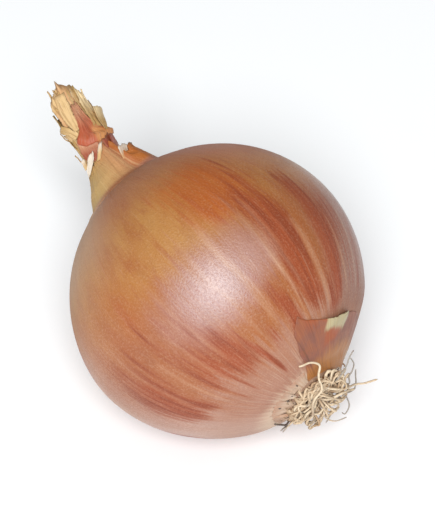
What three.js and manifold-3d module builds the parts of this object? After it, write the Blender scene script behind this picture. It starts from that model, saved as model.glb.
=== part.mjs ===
// A brown globe onion lying on its side: bulb, dry neck, torn skin and root tuft.
// Each piece is modelled in the onion's own frame, with +Z along the bulb's axis from the roots
// to the neck and the origin at the middle of the bulb. The group then lays the onion down.
import * as THREE from "three";
import { mergeVertices } from "three/addons/utils/BufferGeometryUtils.js";
import Module from "manifold-3d";

const wasm = await Module();
wasm.setup();

const { degToRad, radToDeg, lerp, smoothstep } = THREE.MathUtils;

// Driving dimensions, in millimetres and degrees
const BULB_RADIUS = 39; // at the widest ring
const BULB_HALF_LENGTH = 37.8; // from the widest ring to either rounded end
const BULB_FULLNESS = 1.95; // power of the rounded outline: 2 is an ellipse
const BULB_COLUMNS = 64;
const BULB_ROWS = 26;
const LOBES = [
  { count: 2, share: 0.006, turn: 20 },
  { count: 3, share: 0.005, turn: 100 },
  { count: 5, share: 0.003, turn: 50 },
  { count: 11, share: 0.0018, turn: 14 },
];

const NECK_TILT = 17.7; // how far the axis rises towards the neck as the onion lies
const FLAT_SPOT_DEPTH = 0.65; // how much of the round underside the flat spot takes off

const PLATE_RADIUS = 8; // the corky root plate
const PLATE_RECESS = 36; // floor of the hollow that the plate sits in, below the middle
const PLATE_CROWN = 38.6; // outermost point of the plate, below the middle
const GAP = 0.35; // between pieces that lie against each other
const ROOT_TURN = 6.5; // how far the root end sits off the bulb's axis
const ROOT_TURN_TOWARDS = -35; // azimuth that the root end is turned to
const ROOT_TURN_FULL = 22; // polar angle inside which the skin turns in full
const ROOT_TURN_END = 46; // polar angle where the turn has faded out

const SHOULDER_RADIUS = 14; // where the round shoulder turns up into the neck
const COLLAR_RADIUS = 5.3; // outside of the torn collar at its rim
const COLLAR_RIM = 47.6; // mean height of the rim above the middle
const COLLAR_SOCKET_RADIUS = 4.6;
const COLLAR_SOCKET_FLOOR = 40;
const COLLAR_TEAR = 2.6; // how far the torn rim rises and falls

const NECK_START = 36; // the neck leans from this height up
const NECK_TIP = 71;
const NECK_LEAN = 7; // sideways, at the tip
const NECK_LEAN_TOWARDS = 59; // azimuth of the lean
const LEAF_THICKNESS = 0.7;
const RED_SCALE_AZIMUTH = -20;
const RED_SCALE_WIDTH = 92;

const ROOT_COUNT = 42;
const ROOT_RADIUS = 0.45;
const ROOT_TIP_RADIUS = 0.28;
const ROOT_SIDES = 4;
const ROOT_STEPS = 7;
const ROOT_SINK = 0.9; // depth of a root's start in the plate
const ROOT_CLEARANCE = 2.1; // least height of a root's line above the bulb

const SCRAP_THICKNESS = 0.7;

// Seeded random numbers from 0 to 1, the same on every run
function randomSource(seed) {
  let state = seed;
  return () => {
    state = (Math.imul(state, 1664525) + 1013904223) >>> 0;
    return state / 2 ** 32;
  };
}

// An up and down line of torn teeth along 0 to 1, between -1 and 1
function tornEdge(share, teeth, phase) {
  const coarse = Math.sin(share * teeth * 2.1 + phase * 1.7);
  const fine = 2 * Math.abs(((share * teeth + phase) % 1) - 0.5) - 0.5;
  return 0.45 * coarse + 1.1 * fine;
}

function lobes(azimuth) {
  return LOBES.reduce(
    (sum, { count, share, turn }) => sum + share * Math.cos(count * (azimuth - degToRad(turn))),
    0,
  );
}

// A point over the bulb: polar runs from 0 at the roots to 180 at the neck, lift is along the normal
function overBulb(polar, azimuth, lift) {
  const sine = Math.sin(degToRad(polar));
  const cosine = Math.cos(degToRad(polar));
  const power = 2 / BULB_FULLNESS;
  const radius = BULB_RADIUS * sine ** power;
  const z = -BULB_HALF_LENGTH * Math.sign(cosine) * Math.abs(cosine) ** power;
  const angle = degToRad(azimuth);
  const across = new THREE.Vector3(Math.cos(angle), Math.sin(angle), 0);
  const normal = across.clone().multiplyScalar(radius / BULB_RADIUS ** 2);
  normal.z = z / BULB_HALF_LENGTH ** 2;
  const girth = 1 - (z / BULB_HALF_LENGTH) ** 2;
  return across
    .multiplyScalar(radius * (1 + girth * lobes(angle)))
    .setZ(z)
    .addScaledVector(normal.normalize(), lift);
}

// The polar angle at which the rounded outline has this radius, near the roots
function polarAtRadius(radius) {
  return radToDeg(Math.asin((radius / BULB_RADIUS) ** (BULB_FULLNESS / 2)));
}

// Turns a point of the root end to one side of the bulb's axis
function turnRootEnd(point, share) {
  const angle = degToRad(ROOT_TURN_TOWARDS - 90);
  const axis = new THREE.Vector3(Math.cos(angle), Math.sin(angle), 0);
  return point.applyAxisAngle(axis, share * degToRad(ROOT_TURN));
}

// A point round the neck, whose line leans sideways as it rises
function roundNeck(radius, azimuth, z) {
  const rise = Math.max(0, (z - NECK_START) / (NECK_TIP - NECK_START));
  const lean = NECK_LEAN * rise ** 1.15;
  const angle = degToRad(azimuth);
  const towards = degToRad(NECK_LEAN_TOWARDS);
  return new THREE.Vector3(
    radius * Math.cos(angle) + lean * Math.cos(towards),
    radius * Math.sin(angle) + lean * Math.sin(towards),
    z,
  );
}

// A closed thin sheet: point(u, v, face) gives its inner face at 0 and its outer face at 1
function sheetGeometry(columns, rows, point) {
  const positions = [];
  const index = [];
  const faceSize = (columns + 1) * (rows + 1);
  const at = (face, column, row) => face * faceSize + row * (columns + 1) + column;
  const quad = (a, b, c, d) => index.push(a, b, c, a, c, d);
  for (const face of [0, 1])
    for (let row = 0; row <= rows; row++)
      for (let column = 0; column <= columns; column++)
        positions.push(...point(column / columns, row / rows, face).toArray());
  for (let row = 0; row < rows; row++)
    for (let column = 0; column < columns; column++) {
      const corners = (face) => [
        at(face, column, row),
        at(face, column + 1, row),
        at(face, column + 1, row + 1),
        at(face, column, row + 1),
      ];
      const [a, b, c, d] = corners(0);
      index.push(a, c, b, a, d, c);
      quad(...corners(1));
    }
  for (let column = 0; column < columns; column++) {
    quad(at(0, column, 0), at(0, column + 1, 0), at(1, column + 1, 0), at(1, column, 0));
    quad(at(1, column, rows), at(1, column + 1, rows), at(0, column + 1, rows), at(0, column, rows));
  }
  for (let row = 0; row < rows; row++) {
    quad(at(1, 0, row), at(1, 0, row + 1), at(0, 0, row + 1), at(0, 0, row));
    quad(at(0, columns, row), at(0, columns, row + 1), at(1, columns, row + 1), at(1, columns, row));
  }
  return new THREE.BufferGeometry()
    .setAttribute("position", new THREE.Float32BufferAttribute(positions, 3))
    .setIndex(index);
}

// A closed lathe about +Z whose points are then moved by reshape(radius, azimuth, z)
function latheGeometry(profile, columns, reshape) {
  const geometry = new THREE.LatheGeometry(profile, columns).rotateX(Math.PI / 2);
  const position = geometry.attributes.position;
  for (let i = 0; i < position.count; i++) {
    const [x, y, z] = [position.getX(i), position.getY(i), position.getZ(i)];
    const azimuth = radToDeg(Math.atan2(y, x));
    position.setXYZ(i, ...reshape(Math.hypot(x, y), azimuth, z).toArray());
  }
  return geometry;
}

// A closed tube along a curve, tapering from one radius to another
function taperedTube(curve, radius, tipRadius, sides, steps) {
  const geometry = new THREE.CylinderGeometry(tipRadius, radius, 1, sides, steps);
  const { normals, binormals } = curve.computeFrenetFrames(steps);
  const position = geometry.attributes.position;
  for (let i = 0; i < position.count; i++) {
    const step = Math.round((position.getY(i) + 0.5) * steps);
    const point = curve
      .getPointAt(step / steps)
      .addScaledVector(normals[step], position.getX(i))
      .addScaledVector(binormals[step], -position.getZ(i));
    position.setXYZ(i, ...point.toArray());
  }
  return geometry;
}

function solidOf(geometry) {
  const bare = new THREE.BufferGeometry()
    .setAttribute("position", geometry.attributes.position)
    .setIndex(geometry.index);
  const merged = mergeVertices(bare);
  return new wasm.Manifold(
    new wasm.Mesh({
      numProp: 3,
      vertProperties: new Float32Array(merged.attributes.position.array),
      triVerts: new Uint32Array(merged.index.array),
    }),
  );
}

function geometryOf(solid) {
  const { vertProperties, triVerts } = solid.getMesh();
  return new THREE.BufferGeometry()
    .setAttribute("position", new THREE.BufferAttribute(vertProperties, 3))
    .setIndex(new THREE.BufferAttribute(triVerts, 1));
}

function fused(geometries) {
  const [first, ...others] = geometries.map(solidOf);
  return others.reduce((whole, piece) => whole.add(piece), first);
}

// The collar above the shoulder, as radius and height: a crease, then a cone that narrows to the rim
const COLLAR_OUTLINE = [
  [12.4, 35.9],
  [10.9, 36.3],
  [10.3, 37.1],
  [9.2, 39.2],
  [8.4, 41.5],
  [7.1, 44],
  [6, 46],
  [COLLAR_RADIUS, COLLAR_RIM],
];

// The bulb's outline from the root plate's hollow, round the body, up the collar and down its socket
function bulbProfile() {
  const lipPolar = polarAtRadius(PLATE_RADIUS + GAP);
  const shoulderPolar = 180 - polarAtRadius(SHOULDER_RADIUS);
  const outline = [
    new THREE.Vector2(0, -PLATE_RECESS),
    new THREE.Vector2(PLATE_RADIUS + GAP, -PLATE_RECESS),
  ];
  for (let row = 0; row <= BULB_ROWS; row++) {
    const { x, z } = overBulb(lerp(lipPolar, shoulderPolar, row / BULB_ROWS), 0, 0);
    const girth = 1 - (z / BULB_HALF_LENGTH) ** 2;
    outline.push(new THREE.Vector2(x / (1 + girth * lobes(0)), z));
  }
  outline.push(
    ...COLLAR_OUTLINE.map(([radius, z]) => new THREE.Vector2(radius, z)),
    new THREE.Vector2(COLLAR_SOCKET_RADIUS, COLLAR_RIM),
    new THREE.Vector2(COLLAR_SOCKET_RADIUS, COLLAR_SOCKET_FLOOR),
    new THREE.Vector2(0, COLLAR_SOCKET_FLOOR),
  );
  return outline;
}

// Torn ends of the outer skin round the collar: the first two make the flare on one side
const SKIN_SHARDS = [
  { azimuth: 62, width: 84, base: 35, tip: 44.4, baseRadius: 13.2, tipRadius: 9, tear: 1.2 },
  { azimuth: 122, width: 60, base: 35.2, tip: 43.4, baseRadius: 11.8, tipRadius: 8.4, tear: 1.2 },
  { azimuth: 46, width: 64, base: 42, tip: 49.4, baseRadius: 6, tipRadius: 6.1 },
  { azimuth: -84, width: 40, base: 42, tip: 48.2, baseRadius: 5.2, tipRadius: 5.4 },
  { azimuth: -128, width: 46, base: 41, tip: 47.4, baseRadius: 5.6, tipRadius: 5.7 },
  { azimuth: 172, width: 56, base: 40, tip: 46.4, baseRadius: 7.4, tipRadius: 6.9 },
];

function neckBlade({ azimuth, width, base, tip, baseRadius, tipRadius, teeth = 3, tear = 1.6, twist = 0 }) {
  return sheetGeometry(8, 6, (u, v, face) => {
    const torn = tip + tear * tornEdge(u, teeth, azimuth / 50);
    const radius = lerp(baseRadius, tipRadius, v ** 1.5) + face * LEAF_THICKNESS;
    const spread = (u - 0.5) * width * lerp(1, 0.72, v);
    return roundNeck(radius, azimuth + spread + twist * v, lerp(base, torn, v));
  });
}

function makeBulb() {
  const body = latheGeometry(bulbProfile(), BULB_COLUMNS, (radius, azimuth, z) => {
    const girth = Math.max(0, 1 - (z / BULB_HALF_LENGTH) ** 2);
    const rounded = radius * (1 + girth * lobes(degToRad(azimuth)));
    const column = Math.round(((azimuth + 360) / 360) * BULB_COLUMNS) % BULB_COLUMNS;
    const torn = COLLAR_TEAR * tornEdge(column / BULB_COLUMNS, 9, 0.3);
    const rim = smoothstep(z, COLLAR_SOCKET_FLOOR + 1, COLLAR_RIM);
    const polar = radToDeg(Math.atan2(radius, -z));
    const turned = 1 - smoothstep(polar, ROOT_TURN_FULL, ROOT_TURN_END);
    return turnRootEnd(roundNeck(rounded, azimuth, z + rim * torn), turned);
  });
  return fused([body, ...SKIN_SHARDS.map(neckBlade)]);
}

// The onion's pose: laid on its side, with the neck a little up and away from +X
const lying = new THREE.Euler(0, degToRad(NECK_TILT - 90), 0);

// Cuts the flat spot that the bulb rests on, and gives the spot's middle in the onion's own frame
function cutFlatSpot(bulb) {
  const down = new THREE.Vector3(0, 0, -1).applyEuler(new THREE.Euler(0, -lying.y, 0));
  const { numProp, vertProperties } = bulb.getMesh();
  let lowest = 0;
  for (let i = 0; i < vertProperties.length; i += numProp)
    lowest = Math.max(lowest, new THREE.Vector3().fromArray(vertProperties, i).dot(down));
  const depth = lowest - FLAT_SPOT_DEPTH;
  const block = new THREE.BoxGeometry(BULB_RADIUS, BULB_RADIUS, BULB_RADIUS)
    .translate(0, 0, -depth - BULB_RADIUS / 2)
    .applyMatrix4(new THREE.Matrix4().makeRotationY(-lying.y));
  const cutter = solidOf(block);
  const spot = new THREE.Box3();
  const cut = bulb.subtract(cutter);
  const cutMesh = cut.getMesh();
  for (let i = 0; i < cutMesh.vertProperties.length; i += cutMesh.numProp) {
    const corner = new THREE.Vector3().fromArray(cutMesh.vertProperties, i);
    if (corner.dot(down) > depth - 1e-3) spot.expandByPoint(corner.applyEuler(lying));
  }
  return { cut, middle: spot.getCenter(new THREE.Vector3()) };
}

// Dry leaf bases: a slim core with torn blades round it, the tallest to the left of the red scale
const STRAW_BLADES = [
  { azimuth: 62, width: 60, base: 41, tip: 63, baseRadius: 2.8, tipRadius: 5.2, tear: 1.4 },
  { azimuth: 66, width: 34, base: 50, tip: 60, baseRadius: 3.6, tipRadius: 6.2, tear: 0.8, teeth: 1 },
  { azimuth: 106, width: 74, base: 41, tip: 58, baseRadius: 3, tipRadius: 5.4, tear: 1.4 },
  { azimuth: 150, width: 74, base: 41, tip: 66, baseRadius: 2.7, tipRadius: 4.4, tear: 1.6 },
  { azimuth: 196, width: 74, base: 41, tip: 60, baseRadius: 3, tipRadius: 5.6, tear: 1.4 },
  { azimuth: 240, width: 60, base: 41, tip: 66, baseRadius: 2.7, tipRadius: 5, tear: 1.4 },
  { azimuth: 268, width: 50, base: 41, tip: 68, baseRadius: 2.9, tipRadius: 4.8, tear: 1.2 },
  { azimuth: -50, width: 96, base: 60.5, tip: 70.5, baseRadius: 1.8, tipRadius: 3.2, tear: 1.4 },
  { azimuth: 30, width: 96, base: 60.5, tip: 67, baseRadius: 1.8, tipRadius: 3.4, tear: 1.2 },
];

function makeNeckLeaves() {
  const core = [
    new THREE.Vector2(0, COLLAR_SOCKET_FLOOR + GAP),
    new THREE.Vector2(3.2, COLLAR_SOCKET_FLOOR + GAP),
    new THREE.Vector2(3.2, 50),
    new THREE.Vector2(3.1, 57),
    new THREE.Vector2(2.4, 63),
    new THREE.Vector2(1.2, 67),
    new THREE.Vector2(0, 67.6),
  ];
  return fused([latheGeometry(core, 14, roundNeck), ...STRAW_BLADES.map(neckBlade)]);
}

// One reddish dry scale, tucked in the collar and wrapped over the front of the leaves
function makeRedScale() {
  const [base, tip] = [COLLAR_SOCKET_FLOOR + 2, 60];
  return sheetGeometry(10, 9, (u, v, face) => {
    const bulge = 1.1 * smoothstep(v, 0.45, 0.66) * (1 - smoothstep(v, 0.78, 1));
    const radius = 3.2 + GAP + bulge + face * (LEAF_THICKNESS - 0.1);
    const spread = (u - 0.5) * RED_SCALE_WIDTH * lerp(1, 0.55, smoothstep(v, 0.35, 1));
    const torn = tip + 0.9 * tornEdge(u, 3, 0.2);
    return roundNeck(radius, RED_SCALE_AZIMUTH + spread, lerp(base, torn, v));
  });
}

// Long strands that stand out from the tuft: points as [polar, azimuth, height above the bulb]
const LONG_ROOTS = [
  [[8, -60, -1], [13, -52, 3.4], [18, -40, 4], [20, -26, 4], [25, -18, 3], [29, -15, 2.8], [32, -25, 2.2]],
  [[8, 30, -1], [12, 24, 3], [16, 20, 4], [21, 24, 4], [24, 30, 4]],
  [[6, 74, -1], [10, 70, 4], [14, 82, 6.4], [17, 74, 8.6], [19, 78, 10.8]],
  [[4, 20, -1], [4, 30, 4.6], [7, 60, 6.8], [5, 100, 8.2]],
  [[7, -120, -1], [13, -140, 3], [18, -128, 2.8], [22, -136, 2.6]],
  [[3, 150, -1], [8, 160, 4], [13, 150, 5], [15, 168, 7]],
];

function scatteredRoots(random) {
  return Array.from({ length: ROOT_COUNT }, (_, i) => {
    const ring = PLATE_RADIUS * 0.86 * Math.sqrt((i + 0.6) / ROOT_COUNT);
    const startAzimuth = i * 137.5;
    const swirl = (random() - 0.5) * 70;
    const spread = lerp(3, 12, random() ** 1.6);
    const height = lerp(2.6, 5.2, random());
    const droop = random();
    return Array.from({ length: 6 }, (_, step) => {
      const t = step / 5;
      const azimuth = startAzimuth + swirl * t + (random() - 0.5) * 26 * t;
      const polar = polarAtRadius(ring) + spread * t + (random() - 0.5) * 2 * t;
      const lift = -ROOT_SINK + (height + ROOT_SINK) * Math.sin(Math.PI * (0.5 + 0.35 * droop) * t);
      return [polar, azimuth, step < 2 ? lift : Math.max(ROOT_CLEARANCE, lift)];
    });
  });
}

function makeRootTuft() {
  const rimDrop = 1.1;
  const plate = [
    new THREE.Vector2(0, -PLATE_CROWN),
    new THREE.Vector2(PLATE_RADIUS * 0.6, -PLATE_CROWN + rimDrop * 0.4),
    new THREE.Vector2(PLATE_RADIUS, -PLATE_CROWN + rimDrop),
    new THREE.Vector2(PLATE_RADIUS, -PLATE_RECESS - GAP),
    new THREE.Vector2(0, -PLATE_RECESS - GAP),
  ];
  const short = scatteredRoots(randomSource(7)).map((points) =>
    points.map((point) => turnRootEnd(overBulb(...point), 1)),
  );
  const long = LONG_ROOTS.map((points) => points.map((point) => overBulb(...point)));
  const roots = [...short, ...long].map((line) => {
    const curve = new THREE.CatmullRomCurve3(line);
    return taperedTube(curve, ROOT_RADIUS, ROOT_TIP_RADIUS, ROOT_SIDES, ROOT_STEPS);
  });
  const turned = (radius, azimuth, z) => {
    const upright = new THREE.Vector3(radius, 0, z);
    return turnRootEnd(upright.applyAxisAngle(new THREE.Vector3(0, 0, 1), degToRad(azimuth)), 1);
  };
  return fused([latheGeometry(plate, 20, turned), ...roots]);
}

// What is left of the outermost skin by the roots, its torn upper edge lifting off the bulb
function makeSkinScrap() {
  const [leftEdge, rightEdge] = [-17, 84];
  return sheetGeometry(26, 10, (u, v, face) => {
    const side = 2.2 * tornEdge(v, 4, u * 3) * Math.abs(2 * u - 1) ** 6;
    const azimuth = lerp(leftEdge, rightEdge, u) + side;
    const corner = 6 * (1 - smoothstep(u, 0, 0.24));
    const top = 36.5 + corner + 0.9 * tornEdge(u, 11, 0.4);
    const clear = 15.6 + ROOT_TURN * Math.cos(degToRad(azimuth - ROOT_TURN_TOWARDS));
    const polar = lerp(Math.max(14.5, clear), top, v);
    const flap = Math.exp(-(((azimuth - 26) / 13) ** 2)) * smoothstep(v, 0.55, 1);
    return overBulb(polar, azimuth, GAP + 2.2 * flap ** 1.5 + face * SCRAP_THICKNESS);
  });
}

function named(name, geometry, color, roughness) {
  const material = new THREE.MeshStandardMaterial({ color, roughness, metalness: 0 });
  const mesh = new THREE.Mesh(geometry, material);
  mesh.name = name;
  mesh.geometry.computeVertexNormals();
  return mesh;
}

const { cut: restingBulb, middle: flatSpot } = cutFlatSpot(makeBulb());

const onion = new THREE.Group();
onion.rotation.copy(lying);
onion.position.copy(flatSpot).negate();
onion.add(
  named("bulb", geometryOf(restingBulb), 0xb87448, 0.4),
  named("neck_leaves", geometryOf(makeNeckLeaves()), 0xd9bd86, 0.8),
  named("neck_red_scale", makeRedScale(), 0xc06a45, 0.6),
  named("root_tuft", geometryOf(makeRootTuft()), 0xcfb488, 0.85),
  named("skin_scrap", makeSkinScrap(), 0xa4603c, 0.5),
);

const part = new THREE.Group();
part.add(onion);

export default part;
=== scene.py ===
import random
from math import asin, atan2, copysign, cos, degrees, hypot, pi, radians, remainder, sin, sqrt

import bmesh
import bpy
from mathutils import Matrix, Vector, noise


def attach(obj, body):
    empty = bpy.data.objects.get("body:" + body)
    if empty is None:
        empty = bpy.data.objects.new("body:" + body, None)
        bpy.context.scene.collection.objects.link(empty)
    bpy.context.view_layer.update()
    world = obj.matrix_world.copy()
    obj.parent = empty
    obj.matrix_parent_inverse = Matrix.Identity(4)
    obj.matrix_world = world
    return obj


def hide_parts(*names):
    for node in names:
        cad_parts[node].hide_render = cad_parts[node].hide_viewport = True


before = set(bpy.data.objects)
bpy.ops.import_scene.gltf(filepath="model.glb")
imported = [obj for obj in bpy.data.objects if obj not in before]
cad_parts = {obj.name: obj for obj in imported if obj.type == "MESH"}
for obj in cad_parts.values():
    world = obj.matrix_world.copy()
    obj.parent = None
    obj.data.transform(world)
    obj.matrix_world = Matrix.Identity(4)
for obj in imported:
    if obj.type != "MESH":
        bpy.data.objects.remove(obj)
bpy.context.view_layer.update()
print("frame loaded:", sorted(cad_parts))

# every piece is shaped in millimetres with the roots at -Z and the neck at +Z, then laid on its side
pose = {"middle": (0.0013457, 0.0009933, 0.0382466), "tilt": 17.7}
layDown = (
    Matrix.Translation(pose["middle"])
    @ Matrix.Rotation(radians(pose["tilt"] - 90), 4, "Y")
    @ Matrix.Scale(0.001, 4)
)


def smooth(low, high, x):
    t = min(max((x - low) / (high - low), 0), 1)
    return t * t * (3 - 2 * t)


def blend(a, b, t):
    return a + (b - a) * t


def ripple(*at):
    return noise.noise(Vector(at))


def keyed(keys, x):
    # straight steps through (place, value) pairs, or from one value to another, or one value all along
    if isinstance(keys, (int, float)):
        return keys
    if isinstance(keys[0], (int, float)):
        return blend(*keys, min(max(x, 0), 1))
    if x <= keys[0][0]:
        return keys[0][1]
    for (x0, y0), (x1, y1) in zip(keys, keys[1:]):
        if x <= x1:
            return blend(y0, y1, (x - x0) / (x1 - x0))
    return keys[-1][1]


def torn(x, seed):
    # a ragged line, about -1 to 1
    bay = ripple(x * 1.7, seed, 0.3)
    tooth = ripple(x * 6.3, seed, 4.1)
    nick = abs(ripple(x * 15, seed, 8.8))
    return 0.8 * bay + 0.45 * tooth + 0.5 * nick - 0.1


# the round body, as the solid has it
body = {
    "radius": 39,
    "half": 37.8,
    "fullness": 1.95,
    "flatSide": {"azimuth": 62, "depth": 1.2},  # a little off the round by the roots
    "lobes": ((2, 0.006, 20), (3, 0.005, 100), (5, 0.003, 50), (11, 0.0018, 14)),
}


def lobeShare(azimuth):
    return sum(s * cos(n * radians(azimuth - turn)) for n, s, turn in body["lobes"])


def outline(polar):
    power = 2 / body["fullness"]
    sine, cosine = sin(radians(polar)), cos(radians(polar))
    return body["radius"] * sine**power, -body["half"] * copysign(abs(cosine) ** power, cosine)


def polarAt(radius):
    return degrees(asin((radius / body["radius"]) ** (body["fullness"] / 2)))


def relief(polar, azimuth):
    # low ribs along the meridians and a few soft dents, deeper where the skin gathers at the ends
    c, s = cos(radians(azimuth)), sin(radians(azimuth))
    gathered = smooth(140, 166, polar) + 0.8 * smooth(34, 14, polar)
    ribs = 0.10 * ripple(c * 4, s * 4, polar / 55) + 0.045 * ripple(c * 13, s * 13, polar / 40)
    folds = gathered * (0.16 * ripple(c * 5, s * 5, 7.7) + 0.10 * ripple(c * 15, s * 15, 3.3))
    lean = radians(azimuth - body["flatSide"]["azimuth"])
    flat = body["flatSide"]["depth"] * max(0, cos(lean)) ** 2
    flat *= smooth(48, 30, polar) * smooth(6, 16, polar)
    return ribs + folds + 0.22 * ripple(c * 1.4, s * 1.4, polar / 38) - flat


def overBulb(polar, azimuth, lift):
    # a point this far above the skin; polar runs from the roots to the neck
    radius, z = outline(polar)
    angle = radians(azimuth)
    across = Vector((cos(angle), sin(angle), 0))
    normal = across * (radius / body["radius"] ** 2) + Vector((0, 0, z / body["half"] ** 2))
    girth = 1 - (z / body["half"]) ** 2
    lift += relief(polar, azimuth)
    return across * radius * (1 + girth * lobeShare(azimuth)) + Vector((0, 0, z)) + normal.normalized() * lift


# the root end sits a little to one side
rootEnd = {"turn": 6.5, "towards": -35, "inside": 22, "outside": 46}
rootAside = radians(rootEnd["towards"] - 90)
rootAxis = Vector((cos(rootAside), sin(rootAside), 0))
rootTurn = Matrix.Rotation(radians(rootEnd["turn"]), 4, rootAxis)

# the neck leans more as it rises
neckLine = {"start": 36, "tip": 71, "lean": 7, "towards": 59, "power": 1.15}


def roundNeck(radius, azimuth, z):
    rise = max(0, (z - neckLine["start"]) / (neckLine["tip"] - neckLine["start"]))
    lean = neckLine["lean"] * rise ** neckLine["power"]
    angle, towards = radians(azimuth), radians(neckLine["towards"])
    return Vector((
        radius * cos(angle) + lean * cos(towards),
        radius * sin(angle) + lean * sin(towards),
        z,
    ))


# shader maths: a wire is one socket, and arithmetic on wires adds Math nodes
class Wire:
    def __init__(self, tree, socket=None):
        self.tree = tree
        self.socket = socket

    def node(self, kind, settings=None, links=None, out=0):
        made = self.tree.nodes.new(kind)
        for key, value in (settings or {}).items():
            if key == "stops":
                ramp = made.color_ramp.elements
                while len(ramp) < len(value):
                    ramp.new(1)
                for element, (place, shade) in zip(ramp, value):
                    element.position = place
                    element.color = (*shade, 1) if isinstance(shade, tuple) else (shade, shade, shade, 1)
            else:
                setattr(made, key, value)
        for key, value in (links or {}).items():
            socket = made.inputs[key]
            if isinstance(value, Wire):
                self.tree.links.new(value.socket, socket)
            elif socket.type == "RGBA" and len(value) == 3:
                socket.default_value = (*value, 1)
            else:
                socket.default_value = value
        return Wire(self.tree, made.outputs[out] if made.outputs else None)

    def math(self, operation, *values):
        links = dict(enumerate((self,) + values))
        return self.node("ShaderNodeMath", {"operation": operation}, links)

    def __add__(self, other):
        return self.math("ADD", other)

    def __sub__(self, other):
        return self.math("SUBTRACT", other)

    def __mul__(self, other):
        return self.math("MULTIPLY", other)

    def __truediv__(self, other):
        return self.math("DIVIDE", other)

    def __pow__(self, other):
        return self.math("POWER", other)

    def __rsub__(self, other):
        return self.node("ShaderNodeMath", {"operation": "SUBTRACT"}, {0: other, 1: self})

    __radd__ = __add__
    __rmul__ = __mul__

    def step(self, low, high, a=0.0, b=1.0):
        links = {"Value": self, "From Min": low, "From Max": high, "To Min": a, "To Max": b}
        return self.node("ShaderNodeMapRange", {"interpolation_type": "SMOOTHSTEP"}, links)

    def noise(self, scale, detail=2.0, roughness=0.5):
        links = {"Vector": self, "Scale": scale, "Detail": detail, "Roughness": roughness}
        return self.node("ShaderNodeTexNoise", {}, links)

    def vector(self, x, y, z):
        return self.node("ShaderNodeCombineXYZ", {}, {"X": x, "Y": y, "Z": z})

    def attribute(self, name, out):
        return self.node("ShaderNodeAttribute", {"attribute_name": name}, out=out)

    def shade(self, tone):
        made = self.node("ShaderNodeRGB")
        made.socket.default_value = (*tone, 1)
        return made

    def mixed(self, other, share):
        # colour mix, self at 0 and other at 1
        return self.node("ShaderNodeMix", {"data_type": "RGBA"}, {0: share, 6: self, 7: other}, out=2)

    def layered(self, tones, layers):
        # one tone after another over this one: name, share
        tone = self
        for name, share in layers:
            tone = tone.mixed(tones[name], share)
        return tone


# a grid laid over place(u, v); every point keeps its own millimetres and tone for the material
def layGrid(bm, columns, rows, place, note):
    vectors, colours = bm.verts.layers.float_vector, bm.verts.layers.float_color
    ownMap = vectors.get("ownMap") or vectors.new("ownMap")
    ownTone = colours.get("ownTone") or colours.new("ownTone")
    made = bmesh.ops.create_grid(bm, x_segments=columns, y_segments=rows, size=0.5)
    for vert in made["verts"]:
        u, v = vert.co.x + 0.5, vert.co.y + 0.5
        vert.co = place(u, v)
        vert[ownMap], tone = note(u, v)
        vert[ownTone] = (*tone, 1)


def spun(profile, steps):
    # a closed shape turned from its outline of radius and height
    bm = bmesh.new()
    line = [bm.verts.new((r, 0, z)) for r, z in profile]
    edges = [bm.edges.new(pair) for pair in zip(line, line[1:])]
    bmesh.ops.spin(bm, geom=line + edges, cent=(0, 0, 0), axis=(0, 0, 1), angle=2 * pi, steps=steps,
                   use_merge=True)
    bmesh.ops.remove_doubles(bm, verts=bm.verts, dist=1e-4)
    bmesh.ops.recalc_face_normals(bm, faces=bm.faces)
    return bm


def newMaterial(name):
    material = bpy.data.materials.new(name)
    material.use_nodes = True
    tree = material.node_tree
    tree.nodes.clear()
    return material, Wire(tree)


def surface(start, links):
    shader = start.node("ShaderNodeBsdfPrincipled", {}, links)
    start.node("ShaderNodeOutputMaterial", {}, {"Surface": shader})


def bumped(start, height, distance):
    return start.node("ShaderNodeBump", {}, {"Height": height, "Distance": distance, "Strength": 1.0})


def ownFrame(start):
    # the onion's own millimetres, from the row's metres
    back = Matrix.Rotation(radians(90 - pose["tilt"]), 4, "Y")
    shift = -(back @ Vector(pose["middle"])) * 1000
    at = start.node("ShaderNodeTexCoord", out="Object")
    links = {"Vector": at, "Location": shift, "Rotation": back.to_euler(), "Scale": (1000, 1000, 1000)}
    return start.node("ShaderNodeMapping", {"vector_type": "POINT"}, links)


def parts(wire):
    split = wire.node("ShaderNodeSeparateXYZ", {}, {"Vector": wire})
    outputs = split.socket.node.outputs
    return [Wire(wire.tree, outputs[i]) for i in range(3)]


def finishPiece(name, bm, material, node=None, thickness=0):
    bm.transform(layDown)
    mesh = bpy.data.meshes.new(name)
    bm.to_mesh(mesh)
    bm.free()
    mesh.shade_smooth()
    piece = bpy.data.objects.new(name, mesh)
    bpy.context.scene.collection.objects.link(piece)
    mesh.materials.append(material)
    if thickness:
        wall = piece.modifiers.new("thickness", "SOLIDIFY")
        wall.thickness = thickness * 0.001
        wall.offset = 0
        wall.use_even_offset = False
    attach(piece, "root")
    if node:
        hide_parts(node)
    print(name, len(mesh.polygons), "faces")
    return piece


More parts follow.
